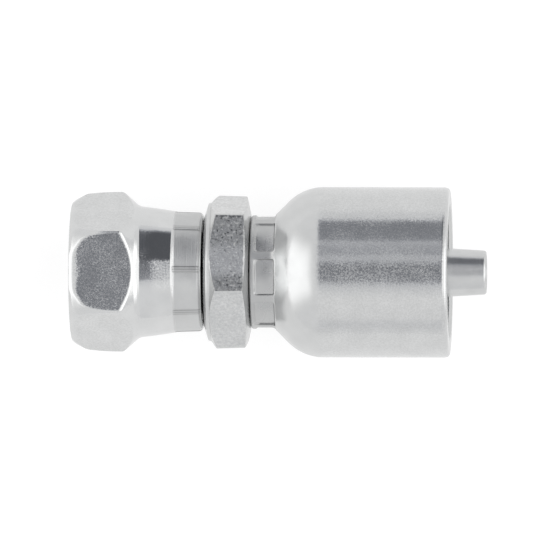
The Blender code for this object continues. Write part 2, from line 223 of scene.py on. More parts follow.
def ring_piece(name, x, radius, angles, **finish_marks):
    """A closed ring. Point (i, j) lies at x[i, j] along the axis and radius[i, j] from it, at
    angles[j] from straight up towards +Y. The rows run back along the outside, then forward
    through the bore, and both rows and columns close on themselves. Each mark is an attribute
    for the finish, with a share of 0 to 1 at every point."""
    rows, columns = radius.shape
    points = np.stack([x, radius * np.sin(angles), radius * np.cos(angles)], axis=-1)
    row = np.arange(rows)[:, None] * columns
    next_row = np.roll(row, -1, axis=0)
    column = np.arange(columns)[None, :]
    next_column = np.roll(column, -1, axis=1)
    quads = np.stack([row + column, next_row + column, next_row + next_column,
                      row + next_column], axis=-1)
    mesh = bpy.data.meshes.new(name)
    mesh.vertices.add(rows * columns)
    mesh.vertices.foreach_set("co", points.astype(np.float32).ravel())
    mesh.loops.add(quads.size)
    mesh.loops.foreach_set("vertex_index", quads.astype(np.int32).ravel())
    mesh.polygons.add(rows * columns)
    mesh.polygons.foreach_set("loop_start", np.arange(0, quads.size, 4, dtype=np.int32))
    mesh.polygons.foreach_set("loop_total", np.full(rows * columns, 4, np.int32))
    for mark, shares in finish_marks.items():
        layer = mesh.attributes.new(mark, "FLOAT", "POINT")
        layer.data.foreach_set("value", np.clip(shares, 0, 1).astype(np.float32).ravel())
    mesh.update(calc_edges=True)
    mesh.shade_smooth()
    piece = bpy.data.objects.new(name, mesh)
    bpy.context.scene.collection.objects.link(piece)
    return piece


def plated_steel(name, colour, grain, roughness, speckle, scoring, swell, shade):
    """Bright zinc on steel, by Object coordinates and the piece's marks. Each of the last five
    has one number for turned steel, one for rolled (the mark "rolled") and one for squeezed by
    jaws ("squeezed"). The speckle tilts the surface this way and that in grains of the grain's
    width, the scoring is noise drawn out round the axis, the swell is a slow waviness, both in
    millimetres, and the shade dims the colour, as does the mark that carries painted shade and
    painted darker reflection."""
    finish = bpy.data.materials.new(name)
    finish.use_nodes = True
    tree = finish.node_tree
    link = tree.links.new
    shader = tree.nodes["Principled BSDF"]
    shader.inputs["Metallic"].default_value = 1.0
    place = tree.nodes.new("ShaderNodeTexCoord").outputs["Object"]

    def noise(scale, detail, stretch=(1, 1, 1), output="Fac"):
        """Noise of 0 to 1, its features about 1 / scale metres wide."""
        mapping = tree.nodes.new("ShaderNodeMapping")
        mapping.inputs["Scale"].default_value = stretch
        link(place, mapping.inputs["Vector"])
        node = tree.nodes.new("ShaderNodeTexNoise")
        node.inputs["Scale"].default_value = scale
        node.inputs["Detail"].default_value = detail
        link(mapping.outputs["Vector"], node.inputs["Vector"])
        return node.outputs[output]

    def ranged(value, low, high, to_low, to_high):
        """The value carried smoothly from one range to another, and held at its ends."""
        node = tree.nodes.new("ShaderNodeMapRange")
        node.interpolation_type = "SMOOTHSTEP"
        for socket, number in zip(node.inputs[1:5], (low, high, to_low, to_high)):
            socket.default_value = number
        link(value, node.inputs["Value"])
        return node.outputs["Result"]

    def worked_out(operation, *values, kind="ShaderNodeMath"):
        """Arithmetic on values and numbers, or on vectors."""
        node = tree.nodes.new(kind)
        node.operation = operation
        for socket, value in zip(node.inputs, values):
            if isinstance(value, (int, float, tuple)):
                socket.default_value = value
            else:
                link(value, socket)
        return node.outputs[0]

    def marked(mark):
        """The share that a mark has here, 0 where the piece has no such mark."""
        node = tree.nodes.new("ShaderNodeAttribute")
        node.attribute_name = mark
        return node.outputs["Fac"]

    rolled, squeezed = marked("rolled"), marked("squeezed")

    def by_finish(turned_number, rolled_number, squeezed_number):
        """The three numbers, each by the share that its finish has here."""
        return worked_out(
            "ADD", worked_out("MULTIPLY", rolled, rolled_number - turned_number), worked_out(
                "ADD", worked_out("MULTIPLY", squeezed, squeezed_number - turned_number),
                turned_number))

    cloud = ranged(noise(CLOUD_SCALE, detail=3), *CLOUD_SPAN, *CLOUD_LEVELS)
    specks = worked_out("MULTIPLY", rolled, ranged(
        noise(SPECK_SHARE / grain, detail=2), *NOISE_SPAN, *SPECK_LEVELS))
    # colour dimmed by the shade and by the mark of painted shade and painted darker reflection
    lit = worked_out("MULTIPLY", worked_out("MULTIPLY", cloud, by_finish(*shade)), worked_out(
        "SUBTRACT", worked_out("ADD", 1.0, specks), marked("crease")))
    tint = tree.nodes.new("ShaderNodeMixRGB")
    tint.blend_type = "MULTIPLY"
    tint.inputs["Fac"].default_value = 1.0
    tint.inputs["Color1"].default_value = (*colour, 1)
    link(lit, tint.inputs["Color2"])
    link(tint.outputs["Color"], shader.inputs["Base Color"])

    frosting = worked_out("ADD", 1.0, worked_out("MULTIPLY", rolled, ranged(
        noise(FROSTING_SHARE / grain, detail=2), *NOISE_SPAN, *FROSTING_LEVELS)))
    smears = ranged(noise(SMEAR_SCALE, detail=2), *NOISE_SPAN, *SMEAR_LEVELS)
    link(worked_out("MULTIPLY", worked_out("MULTIPLY", by_finish(*roughness), frosting), smears),
         shader.inputs["Roughness"])

    grains = worked_out("SUBTRACT", noise(1 / grain, detail=2, output="Color"), NOISE_MIDDLE,
                        kind="ShaderNodeVectorMath")
    patches = ranged(noise(PATCH_SCALE, detail=2), *NOISE_SPAN, *PATCH_LEVELS)
    tilt = tree.nodes.new("ShaderNodeVectorMath")
    tilt.operation = "SCALE"
    link(grains, tilt.inputs[0])
    link(worked_out("MULTIPLY", by_finish(*speckle), patches), tilt.inputs["Scale"])
    facing = tree.nodes.new("ShaderNodeNewGeometry").outputs["Normal"]
    tilted = worked_out("NORMALIZE", worked_out(
        "ADD", facing, tilt.outputs[0], kind="ShaderNodeVectorMath"), kind="ShaderNodeVectorMath")

    lines = worked_out("MULTIPLY", noise(1, detail=3, stretch=SCORING_STRETCH),
                       by_finish(*scoring))
    waves = worked_out("MULTIPLY", noise(SWELL_SCALE, detail=1), by_finish(*swell))
    bump = tree.nodes.new("ShaderNodeBump")
    bump.inputs["Distance"].default_value = MM
    link(worked_out("ADD", lines, waves), bump.inputs["Height"])
    link(tilted, bump.inputs["Normal"])
    link(bump.outputs["Normal"], shader.inputs["Normal"])
    return finish


hex_corners = HEX_TURN + HALF_FLAT + np.arange(6) * TURN / 6
nipple_angles = angles_round(HEX_TURN, NIPPLE_COLUMNS, (hex_corners, HEX_OFFSETS))
hexagon = hexagon_radius(nipple_angles, HEX_FLATS, HEX_TURN, HEX_CORNER_EASING)

blank_radius = HEX_FLATS / math.sqrt(3) + CORNER_MARGIN
land_radius = HEX_FLATS / 2 - LAND_INSET
boss_start = NUT_BACK + FACE_GAP
land_start = boss_start + DISH_LENGTH
hex_start = land_start + LAND_LENGTH
hex_back = FERRULE_START - FACE_GAP
hex_end = hex_back - HEX_BACK_LENGTH
chamfer_end = hex_start + (blank_radius - land_radius) / math.tan(HEX_CHAMFER_SLOPE)
back_edge_radius = blank_radius - 2 * HEX_REAR_EDGE
back_fall = (back_edge_radius - HEX_BACK_RADIUS) / HEX_BACK_LENGTH
head_end = HEAD_START + HEAD_LENGTH
neck_start = head_end + HEAD_RADIUS - NECK_RADIUS
seat_end = HEAD_START + (SEAT_MOUTH_RADIUS - BORE_RADIUS) / math.tan(SEAT_HALF_ANGLE)
groove_middle = FERRULE_START + GROOVE_OFFSET
groove_side = GROOVE_DEPTH / math.tan(GROOVE_SLOPE)
tail_start = hex_back + SPIGOT_LENGTH + TAIL_STEP_LENGTH
nose_start = TAIL_END - NOSE_LENGTH
barb_count = int((nose_start - tail_start) / BARB_PITCH)

head_x, head_radius = eased([
    (HEAD_START, SEAT_MOUTH_RADIUS + SEAM, 0),
    (HEAD_START, HEAD_RADIUS - HEAD_EDGE, CRISP_EASING),
    (HEAD_START + HEAD_EDGE, HEAD_RADIUS, EDGE_EASING),
    (head_end, HEAD_RADIUS, SOFT_EASING),
    (neck_start, NECK_RADIUS, WIDE_EASING),
    (boss_start, NECK_RADIUS, SOFT_EASING),
    (boss_start, BOSS_RADIUS, PLAIN_EASING),
    (land_start, land_radius - LAND_RISE, EDGE_EASING),
    (hex_start - SEAM / 2, land_radius, 0),
], ROW_SPACING)
front_face = (np.array([hex_start, chamfer_end]), np.array([land_radius, blank_radius]))
back_face = eased([
    (hex_end - HEX_REAR_EDGE, blank_radius, 0),
    (hex_end, back_edge_radius, KEEN_EASING),
    (hex_back - SEAM, HEX_BACK_RADIUS + back_fall * SEAM, 0),
], PROFILE_SPACING)
hexagon_x, hexagon_rows = hexagon_skin(
    front_face, back_face, hexagon, np.minimum(CREASE_EASING, hexagon - land_radius),
    CREASE_EASING)
tail_corners = [
    (hex_back - SEAM / 2, HEX_BACK_RADIUS + back_fall * SEAM / 2, 0),
    (hex_back, HEX_BACK_RADIUS, SOFT_EASING),
    (hex_back, SPIGOT_RADIUS, SOFT_EASING),
    (groove_middle - GROOVE_WIDTH / 2, SPIGOT_RADIUS, PLAIN_EASING),
    (groove_middle - GROOVE_WIDTH / 2 + groove_side, SPIGOT_RADIUS - GROOVE_DEPTH, PLAIN_EASING),
    (groove_middle + GROOVE_WIDTH / 2 - groove_side, SPIGOT_RADIUS - GROOVE_DEPTH, PLAIN_EASING),
    (groove_middle + GROOVE_WIDTH / 2, SPIGOT_RADIUS, PLAIN_EASING),
    (hex_back + SPIGOT_LENGTH, SPIGOT_RADIUS, MILD_EASING),
]
for foot in tail_start + np.arange(barb_count) * BARB_PITCH:
    tail_corners += [(foot, BARB_ROOT_RADIUS, CRISP_EASING),
                     (foot + BARB_FACE, BARB_CREST_RADIUS, KEEN_EASING)]
tail_corners += [
    (tail_start + barb_count * BARB_PITCH, BARB_ROOT_RADIUS, EDGE_EASING),
    (nose_start, NOSE_RADIUS, EDGE_EASING),
    (TAIL_END - TIP_CHAMFER, TIP_RADIUS, PLAIN_EASING),
    (TAIL_END, TIP_RADIUS - TIP_CHAMFER, CRISP_EASING),
    (TAIL_END, BORE_RADIUS + TIP_CHAMFER, CRISP_EASING),
    (TAIL_END - TIP_CHAMFER, BORE_RADIUS, PLAIN_EASING),
    (seat_end, BORE_RADIUS, ROUND_EASING),
    (HEAD_START, SEAT_MOUTH_RADIUS, 0),
]
tail_x, tail_radius = eased(tail_corners, TAIL_SPACING, steps=3)
off_flat = hexagon[None, :] - hexagon_rows
from_upper_flat = (nipple_angles - HEX_TURN + math.pi) % TURN - math.pi
along_flat = np.tan(np.clip(from_upper_flat, -HALF_FLAT, HALF_FLAT)) / math.tan(HALF_FLAT)
# two streaks of painted darker reflection on the upper flat, towards its corners
painted_dark_streaks = STREAK_PAINTED_DARKNESS * (np.abs(from_upper_flat) < HALF_FLAT) * np.maximum(
    smooth_step(*UPPER_STREAK, along_flat), smooth_step(*LOWER_STREAK, -along_flat))
draft = HEX_DRAFT * np.interp(hexagon_x, [hex_start, hex_end, hex_back - SEAM], [0, 1, 0])
head_mark = np.zeros((len(head_x), len(nipple_angles)))
tail_mark = np.zeros((len(tail_x), len(nipple_angles)))
nipple = ring_piece(
    "hose_nipple_turned",
    np.concatenate([spread(head_x, nipple_angles), hexagon_x, spread(tail_x, nipple_angles)]),
    np.concatenate([spread(head_radius, nipple_angles), hexagon_rows * (1 - draft),
                    spread(tail_radius, nipple_angles)]),
    nipple_angles,
    rolled=np.concatenate([head_mark, 1 - smooth_step(*ROLLED_FADE, off_flat), tail_mark]),
    crease=np.concatenate([head_mark, painted_dark_streaks * (off_flat < STREAK_DEPTH), tail_mark]))
nipple.data.materials.append(plated_steel(
    "nipple_zinc", colour=(0.61, 0.615, 0.615), grain=0.3 * MM,
    roughness=(0.2, 0.12, 0.2), speckle=(0.08, 0.5, 0.1), scoring=(0.006, 0.004, 0),
    swell=(0.005, 0.05, 0), shade=(1, 1, 1)))
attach(nipple, "stem")
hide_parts("hose_nipple")

# Swivel nut
# A hexagonal nut with a 9/16-18 internal thread. Eight jaws squeezed the end of its plain rear
# sleeve into a collar behind the nipple's head, so it turns freely but can't come off.
NUT_FRONT = nut_low.x
NUT_FLATS = 2 * nut_high.z
NUT_HEX_LENGTH = 6.32 * MM
CROWN_START_RADIUS = 8.42 * MM
CROWN_CORNERS = (                 # turned on the front corners, by length, radius and easing
    (0.06 * MM, 8.68 * MM, CRISP_EASING), (0.45 * MM, 9.03 * MM, 0.35 * MM),
    (1.9 * MM, 9.78 * MM, 0.5 * MM))
NUT_REAR_SLOPE = math.radians(42)
EASING_SHARES = (0, 0.25, 1)      # of the way from a flat's middle to its corners
FLAT_EASINGS = (0.78 * MM, 0.26 * MM, 0.12 * MM)   # of crown and flat, at those shares
REAR_EASINGS = (0.1 * MM, 0.3 * MM)
CORNER_EASING = 0.2 * MM
SLEEVE_RADIUS = 8.24 * MM
SLEEVE_TAPER = 0.59 * MM
SLEEVE_BULGE = 0.035 * MM         # past a straight taper, two fifths of the way along
BULGE_SHARE = 0.4
BULGE_EASING = 1.2 * MM
SLEEVE_FILLET = 0.42 * MM         # of the hollow where it meets the hexagon
FILLET_BEFORE = 0.6 * SLEEVE_FILLET   # its two corners, from the sleeve's start
FILLET_AFTER = 0.5 * SLEEVE_FILLET
FILLET_DIP = SLEEVE_FILLET / 16
COLLAR_LENGTH = 3.7 * MM
COLLAR_RADIUS = 7.51 * MM
COLLAR_TAPER = 0.13 * MM
CRIMP_STEP = 0.34 * MM
CRIMP_DIP = 0.03 * MM
COLLAR_CHAMFER_LENGTH = 0.36 * MM
COLLAR_CHAMFER_DEPTH = 0.3 * MM
COLLAR_BORE_RADIUS = 5.15 * MM
COLLAR_BORE_LENGTH = 2.6 * MM
THREAD_CREST_RADIUS = 6.45 * MM
THREAD_ROOT_RADIUS = 7.14 * MM
THREAD_PITCH = 25.4 * MM / 18
THREAD_ROWS = 16                  # to a turn
THREAD_LENGTH = 9.6 * MM
THREAD_RUNOUT = 1.2 * MM
THREAD_HALF_ANGLE = math.radians(30)
MOUTH_RADIUS = 7.2 * MM
COUNTERSINK_DEPTH = 0.7 * MM
RIM_START = 0.7                   # of the depth of the last row of thread
RIM_SPACING = 0.3 * MM
JAW_COUNT = 8
JAW_TURN = math.radians(2.5)
JAW_RIDGE_HEIGHT = 0.06 * MM
JAW_RIDGE_HALF = 0.34 * MM
JAW_HOLLOW = 0.02 * MM            # how much deeper each jaw pressed at its middle
JAW_LINE = 0.07 * MM              # painted shade line along both edges of a ridge
JAW_EDGE_SHADE = 0.4              # share of light lost there, along a ridge's middle and on all
JAW_MIDDLE_SHADE = 0.3            # of a ridge
JAW_RIDGE_SHADE = 0.08
JAWS_START = (0.02 * MM, 0.3 * MM)    # behind the collar's start, where their marks set in
BORE_MARGIN = 1 * MM              # only the collar's outside is this much wider than its bore
NUT_COLUMNS = 144
NUT_OFFSETS = (0.3, 0.7, 1.3)     # of more columns, in degrees from a corner and from a jaw's line
JAW_OFFSETS = (0.15, 0.5, 1.0, 1.6, 2.0, 2.3, 2.6, 2.9, 3.3)


def thread(x, angles):
    """Radius of a right-hand 60 degree thread. The distance from the middle of the groove sets
    it: the root within a sixteenth of the pitch, then down each flank to the crest."""
    phase = (x[:, None] / THREAD_PITCH + angles[None, :] / TURN) % 1
    off_middle = np.abs(phase - 0.5) * THREAD_PITCH
    flank = THREAD_ROOT_RADIUS - (off_middle - THREAD_PITCH / 16) / math.tan(THREAD_HALF_ANGLE)
    groove = np.clip(flank, THREAD_CREST_RADIUS, THREAD_ROOT_RADIUS) - THREAD_CREST_RADIUS
    fade = 1 - smooth_step(THREAD_LENGTH - THREAD_RUNOUT, THREAD_LENGTH, x)[:, None]
    return THREAD_CREST_RADIUS + groove * fade


def countersink(x):
    """Radius of the cone that opens the thread's mouth, falling in line from the front face."""
    return MOUTH_RADIUS - (MOUTH_RADIUS - THREAD_CREST_RADIUS) * x / COUNTERSINK_DEPTH


nut_corners = HALF_FLAT + np.arange(6) * TURN / 6
jaw_lines = JAW_TURN + np.arange(JAW_COUNT) * TURN / JAW_COUNT
nut_angles = angles_round(0, NUT_COLUMNS, (nut_corners, NUT_OFFSETS), (jaw_lines, JAW_OFFSETS))
nut_hexagon = hexagon_radius(nut_angles, NUT_FLATS, 0, CORNER_EASING)
nut_blank_radius = NUT_FLATS / math.sqrt(3) + CORNER_MARGIN
nut_length = NUT_BACK - NUT_FRONT
rear_fall = math.tan(NUT_REAR_SLOPE)
sleeve_start = NUT_HEX_LENGTH + (nut_blank_radius - SLEEVE_RADIUS) / rear_fall
collar_start = nut_length - COLLAR_LENGTH

crown = eased([
    (0, CROWN_START_RADIUS, 0), *CROWN_CORNERS, (NUT_HEX_LENGTH, nut_blank_radius, 0),
], PROFILE_SPACING)
rear_end = sleeve_start - SLEEVE_FILLET
rear_x = np.array([NUT_HEX_LENGTH, rear_end - SEAM])
rear_radius = nut_blank_radius - (rear_x - NUT_HEX_LENGTH) * rear_fall
to_corner = np.clip((nut_hexagon - NUT_FLATS / 2) / (nut_hexagon.max() - NUT_FLATS / 2), 0, 1)
nut_hexagon_x, nut_hexagon_rows = hexagon_skin(
    crown, (rear_x, rear_radius), nut_hexagon, np.interp(to_corner, EASING_SHARES, FLAT_EASINGS),
    np.interp(to_corner, (0, 1), REAR_EASINGS))

sleeve_x, sleeve_radius = eased([
    (rear_end - SEAM / 2, SLEEVE_RADIUS + rear_fall * (SLEEVE_FILLET + SEAM / 2), 0),
    (sleeve_start - FILLET_BEFORE, SLEEVE_RADIUS + FILLET_BEFORE * rear_fall, SOFT_EASING),
    (sleeve_start + FILLET_AFTER, SLEEVE_RADIUS - FILLET_DIP, ROUND_EASING),
    (sleeve_start + BULGE_SHARE * (collar_start - sleeve_start),
     SLEEVE_RADIUS - BULGE_SHARE * SLEEVE_TAPER + SLEEVE_BULGE, BULGE_EASING),
    (collar_start, SLEEVE_RADIUS - SLEEVE_TAPER, MILD_EASING),
    (collar_start + CRIMP_STEP, COLLAR_RADIUS - CRIMP_DIP, CRISP_EASING),
    (nut_length - COLLAR_CHAMFER_LENGTH, COLLAR_RADIUS - COLLAR_TAPER, WIDE_EASING),
    (nut_length, COLLAR_RADIUS - COLLAR_TAPER - COLLAR_CHAMFER_DEPTH, MILD_EASING),
    (nut_length, COLLAR_BORE_RADIUS, SOFT_EASING),
    (nut_length - COLLAR_BORE_LENGTH, COLLAR_BORE_RADIUS, ROUND_EASING),
    (nut_length - COLLAR_BORE_LENGTH + COLLAR_BORE_RADIUS - THREAD_CREST_RADIUS,
     THREAD_CREST_RADIUS, ROUND_EASING),
    (THREAD_LENGTH, THREAD_CREST_RADIUS, 0),
], ROW_SPACING)
outside_collar = (
    smooth_step(collar_start + JAWS_START[0], collar_start + JAWS_START[1], sleeve_x)
    * (1 - smooth_step(nut_length - COLLAR_CHAMFER_LENGTH, nut_length, sleeve_x))
    * (sleeve_radius > COLLAR_BORE_RADIUS + BORE_MARGIN))
from_line = np.abs((nut_angles[:, None] - jaw_lines + math.pi) % TURN - math.pi).min(axis=1)
off_line = from_line * COLLAR_RADIUS
jaw_ridge = JAW_RIDGE_HEIGHT * np.exp(-(off_line / JAW_RIDGE_HALF) ** 8)
jaw_hollow = JAW_HOLLOW * np.sin(from_line * JAW_COUNT / 2) ** 2
sleeve_rows = sleeve_radius[:, None] + outside_collar[:, None] * (jaw_ridge - jaw_hollow)
# painted shade along both edges of each jaw ridge, along its middle and over all of it
jaw_shade = (JAW_EDGE_SHADE * np.exp(-((off_line - JAW_RIDGE_HALF) / JAW_LINE) ** 2)
             + JAW_MIDDLE_SHADE * np.exp(-(off_line / JAW_LINE) ** 2)
             + JAW_RIDGE_SHADE * (off_line < JAW_RIDGE_HALF))

bore_x = np.arange(THREAD_LENGTH, SEAM, -THREAD_PITCH / THREAD_ROWS)[1:]
bore_rows = np.maximum(thread(bore_x, nut_angles), countersink(bore_x)[:, None])
rim_start = bore_x[-1] * RIM_START
rim_x, rim_radius = eased([
    (rim_start, countersink(rim_start), 0),
    (0, MOUTH_RADIUS, KEEN_EASING),
    (0, CROWN_START_RADIUS - SEAM, 0),
], RIM_SPACING)
hexagon_mark = np.zeros(nut_hexagon_rows.shape)
sleeve_mark = np.zeros(sleeve_rows.shape)
inside_mark = np.zeros((len(bore_x) + len(rim_x), len(nut_angles)))
nut = ring_piece(
    "swivel_nut_turned",
    NUT_FRONT + np.concatenate([nut_hexagon_x, spread(sleeve_x, nut_angles),
                                spread(bore_x, nut_angles), spread(rim_x, nut_angles)]),
    np.concatenate([nut_hexagon_rows, sleeve_rows, bore_rows, spread(rim_radius, nut_angles)]),
    nut_angles,
    rolled=np.concatenate([
        1 - smooth_step(*ROLLED_FADE, nut_hexagon[None, :] - nut_hexagon_rows),
        sleeve_mark, inside_mark]),
    squeezed=np.concatenate([
        hexagon_mark, sleeve_mark + outside_collar[:, None], inside_mark]),
    crease=np.concatenate([hexagon_mark, outside_collar[:, None] * jaw_shade, inside_mark]))
nut.data.materials.append(plated_steel(
    "nut_zinc", colour=(0.66, 0.665, 0.665), grain=0.17 * MM,
    roughness=(0.1, 0.1, 0.35), speckle=(0.07, 0.18, 0.2), scoring=(0.001, 0, 0.024),
    swell=(0.03, 0.02, 0.03), shade=(1, 0.97, 0.87)))
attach(nut, "nut")
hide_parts("swivel_nut")

# Ferrule
# A bottle-shaped steel sleeve for the hose. Its neck is staked into the nipple's groove by eight
# jaws, whose faces left eight sunken pockets, and rings turned in its bore grip the hose cover.
FERRULE_RADIUS = ferrule_high.z
EDGE_LENGTH = 0.6 * MM            # rounded outer edge of the mouth
EDGE_DEPTH = 0.36 * MM
SOCKET_RADIUS = 8.35 * MM
MOUTH_CHAMFER = 0.35 * MM
STAKED_BORE_RADIUS = 5.2 * MM
STAKED_RADIUS = 7.12 * MM
LIP_LENGTH = 0.5 * MM
LIP_CHAMFER = 0.15 * MM
POCKET_LENGTH = 2.56 * MM
POCKET_DEPTH = 0.16 * MM
POCKET_COUNT = 8
POCKET_TURN = math.radians(-5.4)
POCKET_LAND = math.radians(8)     # land left between two pockets
POCKET_CORNER = 0.3 * MM
POCKET_WALL = 0.07 * MM           # width over which a pocket's side drops
POCKET_FRONT_WALL = 0.3 * MM      # and the wider slope at its end towards the nut
POCKET_DISH = 0.07 * MM
POCKET_LIP = 0.02 * MM            # steel raised round a pocket
POCKET_BRIM = 0.3 * POCKET_WALL   # how far outside its edge a pocket's side begins
FRONT_WALL_END = (0.3 * MM, 0.6 * MM)     # from the pocket's front, where the slope gives way
POCKET_LINE = 0.05 * MM           # painted shade line along its steep sides, fainter at the front
LINE_INSET = 0.03 * MM
LINE_SHADE = 0.55
LINE_FRONT_LOSS = 0.4
STAKED_END = (0.1 * MM, 0.2 * MM)     # before and behind the pockets' end, where their finish ends
NECK_EASING = 0.35 * MM
DOME_SLOPE = math.radians(45)
DOME_RADIUS = 6.2 * MM
FROSTED_START = (1.2 * MM, 0.2 * MM)  # before and behind the dome's end, where frosting sets in
SOCKET_MARGIN = 0.5 * MM          # only the outside is this much wider than the socket
RING_HEIGHT = 0.25 * MM
RING_CREST = 0.6 * MM
RING_PITCH = 3.5 * MM
RINGS_START = 2.2 * MM            # from the dome's inner end
RINGS_END = 2.8 * MM              # from the mouth
FERRULE_COLUMNS = 180
POCKET_OFFSETS = (0.15, 0.45, 0.8, 1.2)   # degrees from a pocket's sides, for more columns
LIP_ROWS = np.array([0.0, 0.06, 0.2, 0.5, 0.8, 1.0, 1.3])    # as shares of its chamfer
FINE_SPACING = 0.03 * MM          # of the rows across a pocket's front and rear end
FINE_OUTSIDE = 0.24 * MM          # how far they reach outside it
FINE_FRONT = 0.3 * MM             # and inside it, at its front and at its rear
FINE_REAR = 0.33 * MM
FLOOR_INSET = 0.36 * MM           # of the floor's first and last row, from the pocket's ends
FLOOR_SPACING = 0.14 * MM
CONE_OFFSET = 0.3 * MM            # of the cone's first row, from the pocket's rear end
CONE_SPACING = 0.18 * MM
STAKED_SPACING = 0.02 * MM        # of points on the profile that these rows are read from
DOME_ROWS = 26
INNER_DOME_ROWS = 12
CYLINDER_SPACING = 1.0 * MM
BEAD_SPACING = 0.6 * MM

pocket_middles = POCKET_TURN + np.arange(POCKET_COUNT) * TURN / POCKET_COUNT
pocket_half_angle = math.pi / POCKET_COUNT - POCKET_LAND / 2
pocket_sides = np.concatenate([pocket_middles - pocket_half_angle,
                               pocket_middles + pocket_half_angle])
ferrule_angles = angles_round(0, FERRULE_COLUMNS, (pocket_sides, POCKET_OFFSETS))

cone_end_radius = FERRULE_RADIUS - DOME_RADIUS * (1 - math.cos(DOME_SLOPE))
pocket_start = FERRULE_START + LIP_LENGTH
pocket_end = pocket_start + POCKET_LENGTH
neck_corner = pocket_end - POCKET_DEPTH
cone_end = neck_corner + (cone_end_radius - STAKED_RADIUS) / math.tan(DOME_SLOPE)
dome_end = cone_end + DOME_RADIUS * math.sin(DOME_SLOPE)

staked_x = np.concatenate([
    FERRULE_START + LIP_CHAMFER * LIP_ROWS,
    np.arange(pocket_start - FINE_OUTSIDE, pocket_start + FINE_FRONT, FINE_SPACING),
    np.arange(pocket_start + FLOOR_INSET, pocket_end - FLOOR_INSET, FLOOR_SPACING),
    np.arange(pocket_end - FINE_REAR, pocket_end + FINE_OUTSIDE, FINE_SPACING),
    np.arange(pocket_end + CONE_OFFSET, cone_end - SEAM, CONE_SPACING)])
staked_radius = np.interp(staked_x, *eased([
    (FERRULE_START, STAKED_RADIUS - LIP_CHAMFER, 0),
    (FERRULE_START + LIP_CHAMFER, STAKED_RADIUS, CRISP_EASING),
    (neck_corner, STAKED_RADIUS, NECK_EASING),
    (cone_end, cone_end_radius, 0),
], STAKED_SPACING))
dome_slope = np.linspace(DOME_SLOPE, 0, DOME_ROWS)
dome_x = dome_end - DOME_RADIUS * np.sin(dome_slope)
dome_radius = FERRULE_RADIUS - DOME_RADIUS * (1 - np.cos(dome_slope))

from_middle = np.abs((ferrule_angles[:, None] - pocket_middles + math.pi) % TURN
                     - math.pi).min(axis=1)
half_width = STAKED_RADIUS * pocket_half_angle
half_length = POCKET_LENGTH / 2
across = (STAKED_RADIUS * from_middle)[None, :]
lengthwise = np.abs(staked_x - pocket_start - half_length)[:, None]
past_side = across - half_width + POCKET_CORNER
past_end = lengthwise - half_length + POCKET_CORNER
past_edge = (np.hypot(np.maximum(past_side, 0), np.maximum(past_end, 0))
             + np.minimum(np.maximum(past_side, past_end), 0) - POCKET_CORNER)
in_front = 1 - smooth_step(*FRONT_WALL_END, staked_x - pocket_start)[:, None]
wall = POCKET_WALL + (POCKET_FRONT_WALL - POCKET_WALL) * in_front
sunk = 1 - smooth_step(-wall, POCKET_BRIM, past_edge)
dish = POCKET_DISH * (1 - np.minimum(across / half_width, 1) ** 2) * (
    1 - np.minimum(lengthwise / half_length, 1) ** 2)
raised = POCKET_LIP * np.exp(-((past_edge - POCKET_WALL) / POCKET_WALL) ** 2)
floor_radius = np.minimum(STAKED_RADIUS - POCKET_DEPTH - dish, staked_radius[:, None])
staked_rows = staked_radius[:, None] * (1 - sunk) + floor_radius * sunk + raised
# painted shade on each pocket's steep sides, fainter at its front
pocket_painted_shade = (LINE_SHADE - LINE_FRONT_LOSS * in_front) * np.exp(
    -((past_edge + LINE_INSET) / POCKET_LINE) ** 2)
staked_mark = spread(
    1 - smooth_step(pocket_end - STAKED_END[0], pocket_end + STAKED_END[1], staked_x),
    ferrule_angles)

inner_dome_radius = DOME_RADIUS - (FERRULE_RADIUS - SOCKET_RADIUS)
inner_slope = np.linspace(0, DOME_SLOPE, INNER_DOME_ROWS)
inner_dome_x = dome_end - inner_dome_radius * np.sin(inner_slope)
inner_dome = SOCKET_RADIUS - inner_dome_radius * (1 - np.cos(inner_slope))
inner_fall = math.tan(DOME_SLOPE)
inner_cone_start = inner_dome_x[-1] - (inner_dome[-1] - STAKED_BORE_RADIUS) / inner_fall
bead_radius = SPIGOT_RADIUS - GROOVE_DEPTH + PIECE_GAP
bead_side = (STAKED_BORE_RADIUS - bead_radius) / math.tan(GROOVE_SLOPE)
bead_half = (GROOVE_WIDTH / 2 - PIECE_GAP / math.sin(GROOVE_SLOPE)
             + PIECE_GAP / math.tan(GROOVE_SLOPE))
ring_feet = np.arange(dome_end + RINGS_START, FERRULE_END - RINGS_END, RING_PITCH)
last_ring_end = ring_feet[-1] + 2 * RING_HEIGHT + RING_CREST

outer_x, outer_radius = eased([
    (dome_end + 2 * SEAM, FERRULE_RADIUS, 0),
    (FERRULE_END - EDGE_LENGTH, FERRULE_RADIUS, EDGE_EASING),
    (FERRULE_END - EDGE_LENGTH / 3, FERRULE_RADIUS - EDGE_DEPTH / 4, WIDE_EASING),
    (FERRULE_END, FERRULE_RADIUS - EDGE_DEPTH, ROUND_EASING),
    (FERRULE_END, SOCKET_RADIUS + MOUTH_CHAMFER, PLAIN_EASING),
    (FERRULE_END - MOUTH_CHAMFER, SOCKET_RADIUS, PLAIN_EASING),
    (last_ring_end + 6 * SEAM, SOCKET_RADIUS, 0),
], CYLINDER_SPACING, steps=8)
ring_corners = [(last_ring_end + 5 * SEAM, SOCKET_RADIUS, 0)]
for foot in ring_feet[::-1]:
    ring_corners += [
        (foot + 2 * RING_HEIGHT + RING_CREST, SOCKET_RADIUS, CRISP_EASING),
        (foot + RING_HEIGHT + RING_CREST, SOCKET_RADIUS - RING_HEIGHT, CRISP_EASING),
        (foot + RING_HEIGHT, SOCKET_RADIUS - RING_HEIGHT, CRISP_EASING),
        (foot, SOCKET_RADIUS, CRISP_EASING)]
ring_corners.append((dome_end + 2 * SEAM, SOCKET_RADIUS, 0))
ring_x, ring_radius = eased(ring_corners, CYLINDER_SPACING, steps=2)
